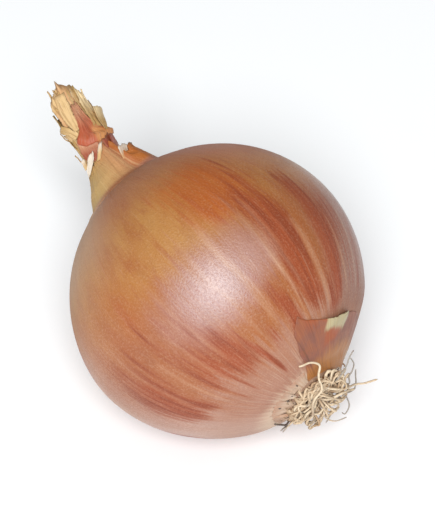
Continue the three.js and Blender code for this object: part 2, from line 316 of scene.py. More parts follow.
# bulb skin: golden brown, red streaks along the meridians, pale veins, pinker and paler towards the roots
skin = {
    "gold": (0.39, 0.145, 0.026),
    "straw": (0.45, 0.205, 0.052),
    "orange": (0.42, 0.092, 0.006),
    "copper": (0.33, 0.095, 0.020),
    "red": (0.295, 0.052, 0.008),
    "deep": (0.15, 0.024, 0.004),
    "umber": (0.20, 0.060, 0.022),
    "mauve": (0.38, 0.150, 0.076),
    "tan": (0.52, 0.36, 0.23),
    "rosy": (0.50, 0.215, 0.150),
    "ash": (0.52, 0.35, 0.28),
    "sheen": (0.55, 0.84, 1),
    "pink": (0.385, 0.21, 0.154),
    # lilac: painted highlight tone, laid over the blush marks
    "lilac": (0.43, 0.26, 0.235),
    "vein": (0.67, 0.41, 0.25),
    "pale": (0.58, 0.42, 0.30),
    "cream": (0.66, 0.44, 0.21),
    "dark": (0.08, 0.035, 0.02),
    # the collar's tones round the neck, the turn as a share
    "collar": (
        (0, (0.52, 0.26, 0.10)), (0.19, (0.44, 0.27, 0.09)), (0.33, (0.47, 0.30, 0.105)),
        (0.43, (0.50, 0.285, 0.105)), (0.50, (0.52, 0.25, 0.10)), (0.545, (0.50, 0.22, 0.095)),
        (0.558, (0.43, 0.140, 0.045)), (0.575, (0.41, 0.120, 0.014)), (0.70, (0.42, 0.135, 0.022)),
        (0.80, (0.50, 0.24, 0.09)), (1, (0.52, 0.26, 0.10)),
    ),
    # streaks: azimuth at the root side and at the neck side, polar angle of both, half width, strength
    "streaks": (
        (-83, -84, 47, 78, 8, 0.85), (-75, -76, 46, 62, 2.2, 0.6), (-62, -60, 48, 68, 5, 0.65),
        (-53.5, -54, 48, 67, 3.2, 0.75), (-45, -44, 44, 64, 5, 0.9), (-52.5, -53, 36, 48, 1.2, 0.6),
        (-62.5, -61, 35, 46, 1.2, 0.6), (-34.6, -35.4, 33, 58, 1.5, 0.95), (-38, -38.5, 46, 62, 3, 0.5),
        (-26.5, -26, 42, 55, 1.8, 0.65), (-13.2, -13.5, 38, 63, 3.6, 0.95), (-4, -3, 55, 70, 2.4, 0.5),
        (2, 3, 46, 96, 6, 1.0), (2, 1, 84, 104, 5, 0.5), (14, 24, 40, 72, 5.5, 1.0),
        (24, 22, 66, 98, 4.6, 0.85), (34, 33, 44, 92, 4, 0.5), (45, 44, 42, 84, 4.5, 0.4),
        (9, 8, 100, 118, 5, 0.4), (5, 4, 114, 128, 8, 0.2), (-92, -94, 46, 74, 4, 0.3),
        (-104, -104, 44, 70, 4, 0.2), (-63, -63, 70, 94, 2.6, 0.4), (-85, -86, 78, 98, 4, 0.3),
        (-48, -48, 68, 84, 3, 0.35), (-73, -73, 70, 96, 4, 0.3),
    ),
    "glow": (  # deeper orange
        (-8, -6, 92, 126, 12, 0.85), (-20, -18, 112, 126, 8, 0.5), (3, 2, 98, 122, 5, 0.9),
        (-62, -62, 84, 104, 6, 0.4), (72, 70, 92, 122, 9, 0.9), (141, 143, 90, 124, 8, 0.9),
        (-172, -174, 94, 122, 10, 0.8), (-128, -130, 96, 120, 8, 0.6),
    ),
    "gilt": (  # paler gold
        (-30, -34, 92, 126, 20, 1.0), (-50, -48, 100, 118, 10, 0.6), (-78, -78, 102, 128, 10, 0.35),
        (108, 108, 94, 126, 18, 0.9), (190, 186, 96, 128, 20, 0.9), (-128, -126, 70, 96, 14, 0.6),
    ),
    "blush": (  # painted highlight: pinkish-lilac paler middle where the key light's highlight falls, repeated on the far sides
        (-30, -28, 67, 84, 20, 0.95), (-12, -10, 66, 86, 9, 0.38), (-36, -34, 58, 96, 22, 0.4),
        (94, 96, 58, 84, 16, 0.6), (168, 166, 60, 82, 16, 0.7), (-135, -134, 56, 80, 14, 0.6),
    ),
    # veins: ends as polar angles, then azimuth, half width in degrees, strength
    "veins": (
        ((42, 50, 66, 82), ((-69, 0.8, 0.35), (-56, 0.7, 0.3), (-41.5, 0.6, 0.4), (-38.5, 0.7, 0.55),
            (-6, 0.9, 0.5), (10.6, 1.4, 0.7), (16.6, 0.5, 0.35), (28.5, 1.0, 0.5), (39, 1.0, 0.4))),
        ((50, 60, 88, 106), ((-79, 0.6, 0.3), (-47.5, 0.6, 0.35), (-29.8, 0.6, 0.4), (-20.4, 1.1, 1.0),
            (-6, 0.8, 0.3), (-1.6, 0.5, 0.3), (6.4, 0.6, 0.3))),
        ((68, 72, 78, 83), ((-14.8, 0.8, 0.9), (-33, 0.6, 0.5))),
        ((40, 50, 74, 104), ((62, 0.8, 0.5), (79, 0.6, 0.4), (97, 0.9, 0.5), (118, 0.6, 0.4),
            (137, 1.1, 0.6), (158, 0.7, 0.4), (176, 0.8, 0.5), (-160, 0.7, 0.45), (-138, 1.0, 0.5),
            (-113, 0.6, 0.4))),
    ),
    # the far side, by chance: where the streaks run and the least and most of each measure
    "far": {"seed": 12, "from": 57, "to": 246, "drift": (-4, 4), "low": (38, 48), "length": (18, 60),
            "half": (1.5, 6), "strength": (0.5, 1), "gap": (5, 13)},
}


def farStreaks(far):
    rng = random.Random(far["seed"])
    made = []
    azimuth = far["from"]
    while azimuth < far["to"]:
        low = rng.uniform(*far["low"])
        drift, length = rng.uniform(*far["drift"]), rng.uniform(*far["length"])
        half, strength = rng.uniform(*far["half"]), rng.uniform(*far["strength"])
        made.append((azimuth, azimuth + drift, low, low + length, half, strength))
        azimuth += rng.uniform(*far["gap"])
    return tuple(made)


skin["streaks"] += farStreaks(skin["far"])


def marked(marks, polar, azimuth):
    # strength of the marks at this place, taken together
    found = 0
    for first, last, low, high, half, strength in marks:
        if low - 7 < polar < high + 14:
            t = min(max((polar - low) / (high - low), 0), 1)
            off = abs((azimuth - blend(first, last, t) + 180) % 360 - 180)
            ends = smooth(low - 7, low + 8, polar) * smooth(high + 14, high - 12, polar)
            found += (1 - found) * strength * ends * smooth(2 * half, 0, off)
    return found


def azimuthStops(bands):
    stops = []
    for at, half, strength in sorted(bands):
        for place, value in ((at - half, 0.0), (at, strength), (at + half, 0.0)):
            stops.append((place / 360 + 0.5, value))
    return stops


# polar angle, turn of 0 to 1 and the two sides of the azimuth, from the onion's own millimetres
def bulbAngles(own):
    x, y, z = parts(own)
    radius = (x * x + y * y + 1e-4) ** 0.5
    polar = (radius / body["radius"]).math("ARCTAN2", z / -body["half"]) * (180 / pi)
    turn = y.math("ARCTAN2", x) / (2 * pi) + 0.5
    return polar, turn, x / radius, y / radius, z


def skinMaterial():
    material, start = newMaterial("onionSkin")
    own = ownFrame(start)
    polar, turn, cosine, sine, z = bulbAngles(own)
    rootPole = rootTurn @ Vector((0, 0, -1))
    along = own.node("ShaderNodeVectorMath", {"operation": "DOT_PRODUCT"}, {0: own, 1: rootPole}, out="Value")
    far = own.node("ShaderNodeVectorMath", {"operation": "LENGTH"}, {0: own}, out="Value")
    fromRoots = (along / far).math("ARCCOSINE") * (180 / pi)
    marks = start.attribute("ownTone", "Vector")
    streak, glow, gilt = parts(marks)
    # alpha holds the blush marks, the painted highlight round the key light's highlight
    blush = Wire(start.tree, marks.socket.node.outputs["Alpha"])

    def streaks(count, length, detail):
        return start.vector(cosine * count, sine * count, polar / length).noise(1.0, detail, 0.55)

    cloud = own.noise(0.16, 4, 0.6)
    broad = streaks(5, 45, 3)
    fine = streaks(24, 30, 4)
    hair = streaks(70, 14, 3)
    grain = own.noise(2.1, 2, 0.6)
    lines = (fine - 0.5) * 1.7 + (hair - 0.5) * 1.1
    # every streak is a bundle of fine lines
    red = (streak * 1.1 + streak.step(0, 0.45) * lines).step(0.08, 0.95)
    blotch = streaks(9, 13, 3)
    middle = polar.step(40, 58) * polar.step(138, 100)
    wild = middle * (broad.step(0.52, 0.74) * 0.3 + lines.step(0.02, 0.4) * 0.34)
    wander = turn + (streaks(3, 25, 1) - 0.5) * 0.010 + (fine - 0.5) * 0.004
    pale = 0.0
    for (foot, full, fade, end), bands in skin["veins"]:
        vein = start.node("ShaderNodeValToRGB", {"stops": azimuthStops(bands)}, {"Fac": wander})
        uneven = polar + (cloud - 0.5) * 22
        pale = vein * uneven.step(foot, full) * uneven.step(end, fade) + pale
    pale = pale * fine.step(0.3, 0.5, 0.5, 1.0)

    left = sine.step(-0.5, -0.95)
    # leftRim and rightRim: the two silhouettes as the camera sees them, where rim reflection is painted in
    # paler tones
    leftRim = sine.step(-0.6, -1.0) * cosine.step(-0.7, 0.1)
    rightRim = sine.step(0, 0.45) * cosine.step(-0.1, 0.5)
    right = sine.step(0.15, 0.5)
    # a feathered border where the pinker root end begins
    border = (polar + lines * 24 + (cloud - 0.5) * 14).step(55, 40)
    nearRoots = (polar - left * 1.5 + (fine - 0.5) * 14).step(27.5, 19.5)
    collar = z.step(36.3, 38.2)
    ring = start.node("ShaderNodeValToRGB", {"stops": skin["collar"]}, {"Fac": turn + (fine - 0.5) * 0.05})
    fleck = own.noise(0.9, 1).step(0.64, 0.70) * fromRoots.step(22, 17)
    tone = start.shade(skin["gold"]).layered({**skin, "ring": ring}, (
        ("copper", polar.step(106, 76) * 0.8 + left * polar.step(128, 100) * 0.3),
        ("straw", gilt * cloud.step(0.25, 0.6, 0.6, 1.0)),
        ("copper", blotch.step(0.48, 0.7) * 0.5),
        ("straw", blotch.step(0.46, 0.28) * polar.step(80, 100) * 0.4),
        ("orange", (glow * 1.1 + glow.step(0, 0.45) * lines * 0.7).step(0.05, 1.1) * 0.9),
        ("pink", border * (0.58 + (hair - 0.5) * 0.8) + polar.step(40, 26) * 0.1),
        # painted highlight: paler lilac tone over the blush marks
        ("lilac", (blush + blush.step(0, 0.4) * lines * 0.5).step(0, 1.1) * 0.7),
        # painted shade: umber darkens the right side, away from the light, partly the real darker streaked
        # skin there; the cloud term is mottle by chance
        ("umber", right * polar.step(30, 44) * polar.step(98, 74) * 0.62 + cloud.step(0.5, 0.72) * 0.16),
        ("copper", broad.step(0.44, 0.68) * polar.step(98, 118) * 0.5),
        ("mauve", polar.step(116, 142) * 0.6),
        ("red", lines.step(0.05, 0.45) * polar.step(108, 132) * 0.3),
        ("orange", left * polar.step(78, 96) * polar.step(122, 104) * 0.2),
        # painted rim reflection: paler tan on the upper left silhouette, rosy on the upper right, ash low on
        # the left
        ("tan", leftRim * polar.step(100, 134) * (0.36 + broad * 0.5)),
        ("rosy", rightRim * polar.step(98, 126) * (0.44 + broad * 0.5)),
        ("ash", sine.step(-0.4, -0.7) * cosine.step(0.3, -0.2) * polar.step(88, 44) * 0.46),
        ("red", red.math("MAXIMUM", wild) * 0.92),
        ("deep", red * fine.step(0.42, 0.66) * 0.45),
        ("vein", pale * 0.72 + hair.step(0.56, 0.76) * 0.18),
        ("pale", nearRoots * (0.5 + fine * 0.7) + hair.step(0.5, 0.7) * polar.step(48, 30) * 0.2),
        ("ring", collar),
        ("red", collar * (hair.step(0.5, 0.75) * 0.3 + cloud.step(0.5, 0.7) * 0.25)),
        ("cream", collar * fine.step(0.5, 0.3) * 0.27),
        # painted shade: a darker umber band in the crease at the collar's foot
        ("umber", z.step(38, 36.4) * z.step(35.8, 36.4) * 0.3),
        ("dark", fleck * 0.75),
        ("vein", grain.step(0.5, 0.75) * 0.14),
        ("deep", grain.step(0.5, 0.25) * 0.10),
    ))

    shine = polar.step(122, 92) * polar.step(34, 54) * (1 - red * 0.75)
    height = grain * 1.2 + hair * 0.5 + fine * 0.9
    surface(start, {
        "Base Color": tone,
        "Roughness": 0.66 - shine * (0.26 - (grain - 0.5) * 0.3),
        "Specular IOR Level": 0.5,
        "Specular Tint": skin["sheen"],
        "Coat Weight": shine * grain.step(0.3, 0.7, 0.15, 0.85),
        "Coat Roughness": 0.36,
        "Normal": bumped(start, height, 0.00012),
    })
    return material


# bulb: lip round the root plate, round body, gathered shoulder and torn collar in one spun skin
bulb = {
    "columns": 384,
    "rows": 150,
    "plateRadius": 8.35,
    "plateFloor": -36,
    "shoulder": 14,
    "collarRows": 46,
    "wall": 0.4,
    "tube": 10,  # the collar's height before it is shaped
    "socket": 0.62,  # share of the collar's height where its floor starts
    "socketRows": 16,
    "socketFloor": 43,
    # outline of the collar from the shoulder up: share, radius, height
    "close": (
        (0, 14, 35.3), (0.16, 12.4, 35.88), (0.3, 10.9, 36.3), (0.36, 10.3, 37.1), (0.5, 9.2, 39.2),
        (0.65, 8.4, 41.5), (0.8, 7.1, 44), (0.9, 6.0, 46), (1, 5.2, 48),
    ),
    "flared": (
        (0, 14, 35.3), (0.16, 13.7, 36.2), (0.3, 13.2, 37.3), (0.36, 12.9, 38), (0.5, 12.1, 39.7),
        (0.65, 11.2, 41.4), (0.8, 10.3, 43), (0.9, 9.8, 44), (1, 9.5, 45),
    ),
    "flare": (14, 34, 104, 150),  # azimuths where it starts, is full, fades and ends
    # azimuth, height of the torn rim
    "tear": (
        (-180, 46.4), (-140, 47.6), (-104, 45.8), (-84, 46.4), (-70, 47.0), (-52, 46.6), (-36, 47.2),
        (-28, 47.8), (-14, 49.2), (-2, 49.9), (10, 50), (18, 50.6), (22, 48.6), (25, 45.4), (28, 43.4),
        (31, 43.2), (34, 44.4), (37, 44.8), (44, 45.2), (48, 44.5), (54, 45.1), (62, 44.8), (76, 43.6),
        (92, 43), (112, 43.8), (130, 45.6), (150, 46.6), (180, 46.4),
    ),
}


def collarPoint(azimuth, t):
    # radius and height on the collar's outer face
    first, full, fade, last = bulb["flare"]
    wide = smooth(first, full, azimuth) * smooth(last, fade, azimuth)
    c, s = cos(radians(azimuth)), sin(radians(azimuth))
    radius, z = (
        blend(*(keyed([(key[0], key[i]) for key in bulb[form]], t) for form in ("close", "flared")), wide)
        for i in (1, 2)
    )
    ragged = 0.5 * ripple(c * 7, s * 7, 5.1) + 0.4 * ripple(c * 22, s * 22, 8)
    ragged += 0.25 * ripple(c * 50, s * 50, 2)
    rim = blend(bulb["close"][-1][2], bulb["flared"][-1][2], wide)
    z += smooth(0.45, 1, t) * (keyed(bulb["tear"], azimuth) - rim)
    z += smooth(0.7, 1, t) * ragged
    radius += smooth(0.3, 0.6, t) * (0.22 * ripple(c * 5, s * 5, 6.5) + 0.12 * ripple(c * 14, s * 14, 1.5))
    return radius, z


def bulbPiece():
    lip, shoulder = polarAt(bulb["plateRadius"]), 180 - polarAt(bulb["shoulder"])
    outer, inner = bulb["shoulder"], bulb["shoulder"] - bulb["wall"]
    tube, rows, inside = bulb["tube"], bulb["collarRows"], bulb["socketRows"]
    profile = [(0, bulb["plateFloor"]), (bulb["plateRadius"], bulb["plateFloor"])]
    profile += [outline(blend(lip, shoulder, row / bulb["rows"])) for row in range(bulb["rows"] + 1)]
    top = profile[-1][1]
    # the collar starts as a straight tube
    profile += [(outer, top + tube * row / rows) for row in range(1, rows + 1)]
    profile += [(inner, top + tube * blend(1, bulb["socket"], row / inside)) for row in range(inside + 1)]
    profile += [(0, top + tube * bulb["socket"])]

    bm = spun(profile, bulb["columns"])
    ownTone = bm.verts.layers.float_color.new("ownTone")
    for vert in bm.verts:
        x, y, z = vert.co
        radius, azimuth = hypot(x, y), degrees(atan2(y, x))
        vert[ownTone] = (0, 0, 0, 0)
        if z > top + 0.01:
            if radius < 1:
                vert.co = roundNeck(0, 0, bulb["socketFloor"])
                continue
            wall = bulb["wall"] if radius < (outer + inner) / 2 else 0
            radius, z = collarPoint(azimuth, (z - top) / tube)
            vert.co = roundNeck(radius - wall, azimuth, z)
            continue
        polar = 180 - degrees(atan2(radius / body["radius"], z / body["half"]))
        if z > bulb["plateFloor"] + 0.01 or radius > bulb["plateRadius"] + 0.01:
            vert.co = overBulb(polar, azimuth, 0)
        turn = rootEnd["turn"] * smooth(rootEnd["outside"], rootEnd["inside"], polar)
        vert.co.rotate(Matrix.Rotation(radians(turn), 3, rootAxis))
        x, y, z = vert.co
        polar = degrees(atan2(hypot(x, y) / body["radius"], -z / body["half"]))
        azimuth = degrees(atan2(y, x)) + 3 * ripple(polar / 16, azimuth / 20, 3.3)
        # the fourth channel, blush, holds the painted highlight marks
        vert[ownTone] = [marked(skin[kind], polar, azimuth) for kind in ("streaks", "glow", "gilt", "blush")]
    piece = finishPiece("bulbSkin", bm, skinMaterial(), "bulb")
    for vert in piece.data.vertices:  # the flat spot it rests on
        vert.co.z = max(vert.co.z, 0)


bulbPiece()


# dried paper: tone from the piece's own attribute, with fibres along it, blots and darker lines
def paperMaterial(name, line, lineShare, roughness):
    material, start = newMaterial(name)
    at = start.attribute("ownMap", "Vector")
    tone = start.attribute("ownTone", "Color")
    across, along, seed = parts(at)
    rib = start.vector(across * 1.5, along * 0.07, seed).noise(1.0, 3, 0.6)
    thread = start.vector(across * 5, along * 0.16, seed).noise(1.0, 2, 0.6)
    blot = start.vector(across * 0.5, along * 0.32, seed).noise(1.0, 4, 0.65)
    tone = tone.layered(leafTones, (
        (line, rib.step(0.46, 0.72) * lineShare + blot.step(0.5, 0.75) * lineShare * 0.7),
        ("thread", thread.step(0.52, 0.8) * 0.3),
    ))
    normal = bumped(start, rib * 1.0 + thread * 0.6 + blot * 0.8, 0.00016)
    surface(start, {
        "Base Color": tone,
        "Roughness": blot.step(0.3, 0.7, roughness - 0.08, roughness + 0.08),
        "Specular IOR Level": 0.35,
        "Normal": normal,
    })
    return material


# dried leaf: angles round the neck in degrees, heights and radii in millimetres
leafTones = {
    "straw": (0.53, 0.33, 0.125),
    "cream": (0.65, 0.435, 0.205),
    "olive": (0.45, 0.29, 0.095),
    "brown": (0.17, 0.085, 0.035),
    "salmon": (0.41, 0.088, 0.035),
    "orange": (0.60, 0.26, 0.090),
    "plum": (0.40, 0.145, 0.110),
    "rust": (0.31, 0.075, 0.036),
    "white": (0.74, 0.64, 0.52),
    "tan": (0.62, 0.35, 0.16),
    "blush": (0.52, 0.25, 0.135),
    "ivory": (0.84, 0.64, 0.36),
    "lilac": (0.54, 0.395, 0.29),
    "rose": (0.44, 0.26, 0.18),
    "thread": (0.86, 0.74, 0.55),
    "strawLine": (0.26, 0.13, 0.045),
    "redLine": (0.24, 0.035, 0.02),
    "tornLine": (0.42, 0.16, 0.06),
}
# a value may be one number or keys along the leaf; u runs round from left to right, v from foot to tip
plainLeaf = {
    "left": -30, "right": 30, "radius": 4,  # keyed by v
    "foot": 44, "tip": 64,                  # keyed by u
    "tear": 1.0, "footTear": 0, "sideTear": 0.5, "fold": 0.3, "crumple": 0.16, "pleat": 0.05, "curl": 0.2,
    "tipCurl": 0.2, "flick": 0,             # flick: how far the right corner of the foot turns out
    "tone": "straw", "tipTone": "straw", "sideTone": None, "scorch": 0.7,
}


def leafSheet(bm, changes, seed):
    leaf = {**plainLeaf, **changes}
    radius = max(keyed(leaf["radius"], v) for v in (0, 0.5, 1))
    length = max(keyed(leaf["tip"], u) - keyed(leaf["foot"], u) for u in (0, 0.5, 1))
    girth = radius * radians(max(keyed(leaf["right"], v) - keyed(leaf["left"], v) for v in (0, 0.5, 1)))
    columns = min(90, max(10, round(girth / 0.22)))
    rows = min(80, max(10, round(length / 0.3)))

    def place(u, v):
        side = 2 * u - 1
        along, across = v * length, u * girth
        notch = leaf["sideTear"] * torn(along / 5, seed + (9 if side > 0 else 3)) * abs(side) ** 3
        azimuth = blend(keyed(leaf["left"], v), keyed(leaf["right"], v), u)
        azimuth += degrees(side * notch / radius)
        azimuth += 5 * ripple(along / 8, 1.3, seed) * v
        foot = keyed(leaf["foot"], u) + leaf["footTear"] * torn(across / 4, seed + 31)
        z = blend(foot, keyed(leaf["tip"], u) + leaf["tear"] * torn(across / 3.5, seed), v)
        out = keyed(leaf["radius"], v)
        out += leaf["fold"] * ripple(across / 2.6, along / 9, seed)
        out += leaf["fold"] * 0.5 * ripple(across / 1.1, along / 6, seed + 5)
        out += leaf["crumple"] * ripple(across / 1.2, along / 1.4, seed + 8)
        out += leaf["pleat"] * ripple(across * 1.7, along / 9, seed + 2)
        out += leaf["curl"] * side**4
        out += leaf["tipCurl"] * smooth(0.7, 1, v) * (1 + ripple(across / 1.5, 0, seed))
        out += leaf["flick"] * smooth(0.76, 1, u) * smooth(0.24, 0.1, v)
        return roundNeck(max(out, 0.3), azimuth, z)

    def note(u, v):
        tone = Vector(leafTones[leaf["tone"]]).lerp(Vector(leafTones[leaf["tipTone"]]), smooth(0.3, 0.9, v))
        if leaf["sideTone"]:
            azimuth = blend(keyed(leaf["left"], v), keyed(leaf["right"], v), u)
            share = smooth(-12, 4, azimuth) * smooth(0.45, 0.26, v)
            tone = tone.lerp(Vector(leafTones[leaf["sideTone"]]), share)
        rag = 0.05 * ripple(u * girth, v * 3, seed + 12)
        rim = max(smooth(0.9, 1.0, v + rag), 0.5 * smooth(0.88, 1, abs(2 * u - 1) + rag))
        tone = tone.lerp(Vector(leafTones["brown"]), max(0, min(1, rim * leaf["scorch"])))
        return (u * girth, v * length, seed * 3.7), tone

    layGrid(bm, columns, rows, place, note)


def leafPiece(name, leaves, material, node, thickness):
    bm = bmesh.new()
    for seed, changes in enumerate(leaves, 1):
        leafSheet(bm, changes, seed * 1.3 + len(name))
    finishPiece(name, bm, material, node, thickness)


# straw-coloured leaf bases in the collar, from the rolled core to the outer strips
strawLeaves = (
    dict(left=-145, right=185, foot=42, tip=68, radius=(2.6, 1.6), tear=1.6),
    dict(left=45, right=355, foot=42, tip=64.5, radius=(3.6, 2.7), tear=1.6, tipTone="olive"),
    # tall leaf with the brown tip
    dict(left=((0, -56), (0.5, -54), (1, -62)), right=(12, 4), foot=46,
         tip=((0, 67.6), (0.3, 68.8), (0.5, 70.2), (0.58, 71.8), (0.68, 70.2), (0.85, 69.6), (1, 68.8)),
         radius=(4.4, 4.2), tear=0.5, tipTone="tan", scorch=0.95),
    dict(left=(-20, -8), right=(80, 74), foot=49, tip=((0, 69.4), (0.45, 68.6), (1, 66)),
         radius=(4.8, 4.1), tear=0.9, tipTone="cream", scorch=0.6),
    # pale curl at the far left of the tip
    dict(left=((0, -76), (0.4, -76), (0.8, -84), (1, -66)), right=(-48, -42), foot=60, tip=68.8,
         radius=(4.5, 4.7), tear=0.7, curl=0.4, tone="tan", tipTone="cream", scorch=0.8),
    # broad cream leaf
    dict(left=((0, -46), (0.3, -55), (0.62, -60), (1, -52)),
         right=((0, -33), (0.2, -27), (0.65, -19), (1, -17)), foot=56.6, tip=(68.2, 67.4), radius=5.0,
         tear=0.5, footTear=0.5, curl=0.35, tone="cream", tipTone="cream", scorch=0.5),
    # flap that turns out to the left
    dict(left=((0, -64), (0.4, -74), (0.75, -98), (1, -116)),
         right=((0, -38), (0.3, -52), (0.7, -66), (1, -80)), foot=55.4, tip=61.4,
         radius=((0, 5.0), (0.6, 5.1), (1, 5.5)), tear=0.6, footTear=0.5, tone="cream", scorch=0.3,
         tipCurl=0),
    # long strip down the left edge
    dict(left=((0, -112), (0.3, -100), (0.6, -84), (0.8, -90), (1, -112)),
         right=((0, -62), (0.5, -60), (0.8, -57), (1, -66)), foot=44, tip=60.6,
         radius=((0, 4.9), (0.3, 4.3), (0.5, 3.7), (0.8, 3.7), (1, 4.4)), tear=0.8, tipTone="cream",
         scorch=0.15, tipCurl=0, curl=0.1),
    # ridge to the right of the salmon scale
    dict(left=((0, 10), (0.6, 10), (1, 20)), right=((0, 56), (0.5, 51), (0.8, 46), (1, 38)), foot=52,
         tip=(67, 64.6), radius=(5.8, 5.3), tear=0.7, tipTone="ivory", scorch=0.4),
    # cream corner that stands out on the right
    dict(left=((0, 33), (0.4, 22), (1, 23)), right=(46, 64), foot=52.6, tip=59,
         radius=((0, 6.3), (0.4, 6.7), (1, 7.2)), tear=0.3, sideTear=0.2, fold=0.15, tipTone="ivory",
         scorch=0.15),
    # far side
    dict(left=52, right=(110, 98), foot=44, tip=62, radius=(4.6, 5.4), tear=1.2),
    dict(left=76, right=(144, 130), foot=42, tip=58.4, radius=(4.6, 5.8), tear=1.3, tone="tan"),
    dict(left=114, right=(188, 172), foot=42, tip=66, radius=(4.3, 4.7), tear=1.5, tipTone="cream"),
    dict(left=160, right=(232, 220), foot=42, tip=60, radius=((0, 4.6), (0.5, 4.0), (1, 4.9)), tear=1.3,
         tone="tan", scorch=0.3),
    dict(left=204, right=(272, 256), foot=42, tip=66, radius=((0, 4.4), (0.45, 3.7), (1, 4.6)), tear=1.4,
         tipTone="olive"),
    dict(left=244, right=292, foot=43, tip=59.6, radius=((0, 4.6), (0.5, 3.6), (0.8, 3.7), (1, 4.8)),
         tipTone="cream", scorch=0.25),
)

# frayed slivers round the leaves
plainSliver = {
    "tear": 0.5, "footTear": 0.4, "sideTear": 0.2, "fold": 0.1, "crumple": 0.08, "curl": 0.05, "scorch": 0.4,
}
sliverSize = {"half": (2.5, 7), "length": (2, 4.4), "sunk": 0.6, "tipOut": (-0.2, 0.25)}
# count, seed, then least and most of the angle, height and radius
slivers = {
    "left": (16, 5, (-104, -56), (49, 62), (3.5, 4.1)),
    "right": (10, 6, (22, 64), (54.5, 62), (5.0, 5.5)),
    "back": (22, 7, (70, 255), (46, 62), (4.8, 5.6)),
    "tip": (24, 8, (-180, 180), (60, 65.5), (2.6, 4.4)),
    "top": (16, 9, (-74, 40), (63, 67), (4.2, 4.7)),
}


def frayed(count, seed, angles, heights, radii):
    rng = random.Random(seed)
    made = []
    for _ in range(count):
        at, foot, radius = rng.uniform(*angles), rng.uniform(*heights), rng.uniform(*radii)
        half, length = rng.uniform(*sliverSize["half"]), rng.uniform(*sliverSize["length"])
        tipRadius = radius + rng.uniform(*sliverSize["tipOut"])
        made.append({
            **plainSliver,
            "left": (at - half, at - half * 0.3), "right": (at + half, at + half * 0.4),
            "foot": foot, "tip": foot + length,
            "radius": ((0, radius - sliverSize["sunk"]), (0.35, radius - 0.1), (1, tipRadius)),
            "tone": rng.choice(("straw", "tan", "olive", "cream")),
            "tipTone": rng.choice(("straw", "tan", "olive", "cream", "ivory")),
        })
    return tuple(made)


# salmon scale that turns orange round to the right, and the torn red layers below it
redLeaves = (
    dict(left=-66, right=34, foot=((0, 48.6), (0.25, 47), (0.5, 45)),
         tip=((0, 54.4), (0.3, 52.8), (0.6, 52), (1, 51.8)), radius=5.2, tear=0.2, tone="rust",
         tipTone="blush", scorch=0, fold=0.2),
    dict(left=((0, -56), (0.07, -55), (0.26, -36), (0.5, -27), (0.74, -24), (1, -26)),
         right=((0, 64), (0.15, 66), (0.2, 50), (0.24, 26), (0.3, 19), (0.43, 15), (0.65, 5), (0.85, 1),
                (1, -3)),
         foot=((0, 53.5), (0.13, 51.6), (0.26, 51.0), (0.42, 50.5), (0.69, 50.3), (1, 51.2)), tip=62.8,
         radius=((0, 5.6), (0.12, 6.1), (0.24, 5.7), (0.4, 5.4), (1, 5.2)), tear=1.6, footTear=0.4,
         sideTear=0.3, fold=0.16, crumple=0.1, pleat=0.14, flick=1.0, tone="salmon", tipTone="blush",
         sideTone="orange", scorch=0.3, tipCurl=0),
    dict(left=((0, 10), (0.4, 22), (0.7, 27), (1, 34)), right=(90, 84), foot=40,
         tip=((0, 50.4), (0.35, 51.6), (0.6, 49.8), (0.8, 49.4), (1, 49)),
         radius=((0, 7.6), (0.3, 6.5), (0.6, 6.1), (1, 6.2)), tear=0.9, fold=0.3, tone="blush",
         tipTone="plum", scorch=0.4),
    dict(left=4, right=84, foot=43, tip=((0, 50), (0.5, 51.6), (1, 51)), radius=(5.6, 5.8), tear=0.7,
         fold=0.25, tone="rust", tipTone="rust", scorch=0.6),
)

# torn ends of the outer skin round the collar
skinShards = (
    # pale lining that shows along the left of the collar
    dict(left=((0, -82), (0.5, -70), (1, -50)), right=((0, -70), (0.3, -50), (0.6, -38), (1, -34)),
         foot=45.4, tip=(48.9, 49.3), radius=(6.6, 5.8), tear=0.4, tone="white", tipTone="white",
         scorch=0.15),
    dict(left=((0, -34), (0.6, -22), (1, -9)), right=((0, -26), (0.5, -11), (1, 0)), foot=46.2, tip=49.9,
         radius=(6.3, 5.7), tear=0.4, sideTear=0.2, curl=0.4, tone="cream", tipTone="white", scorch=0.3),
    dict(left=-84, right=-70, foot=47.6, tip=50.4, radius=(5.9, 5.3), tear=0.5, tone="cream",
         tipTone="white", scorch=0.2),
    # grey-white curl inside the flare
    dict(left=12, right=40, foot=41, tip=((0, 45), (0.5, 45.6), (1, 44.6)), radius=(8.0, 8.7), tear=0.6,
         tone="tan", tipTone="white", scorch=0.4),
    # brown bits on the flare's rim
    dict(left=35, right=46, foot=43.2, tip=45.2, radius=9.3, tear=0.4, tone="tan", tipTone="brown"),
    dict(left=48, right=57, foot=43.4, tip=45.4, radius=9.2, tear=0.4, tone="cream", tipTone="brown"),
    dict(left=180, right=216, foot=42, tip=47.4, radius=(8.1, 5.5), tone="tan", curl=0, scorch=0.4),
    dict(left=150, right=204, foot=40, tip=46.4, radius=(9.1, 7.0), tone="orange", tipTone="tan",
         scorch=0.4),
)

strawPaper = paperMaterial("strawLeaf", "strawLine", 0.6, 0.7)
allStraw = strawLeaves
for side in slivers.values():
    allStraw += frayed(*side)
leafPiece("neckLeaves", allStraw, strawPaper, "neck_leaves", 0.2)
redPaper = paperMaterial("redScalePaper", "redLine", 0.6, 0.5)
leafPiece("neckRedScale", redLeaves, redPaper, "neck_red_scale", 0.2)
tornPaper = paperMaterial("tornSkinPaper", "tornLine", 0.35, 0.55)
leafPiece("collarShards", skinShards, tornPaper, None, 0.18)


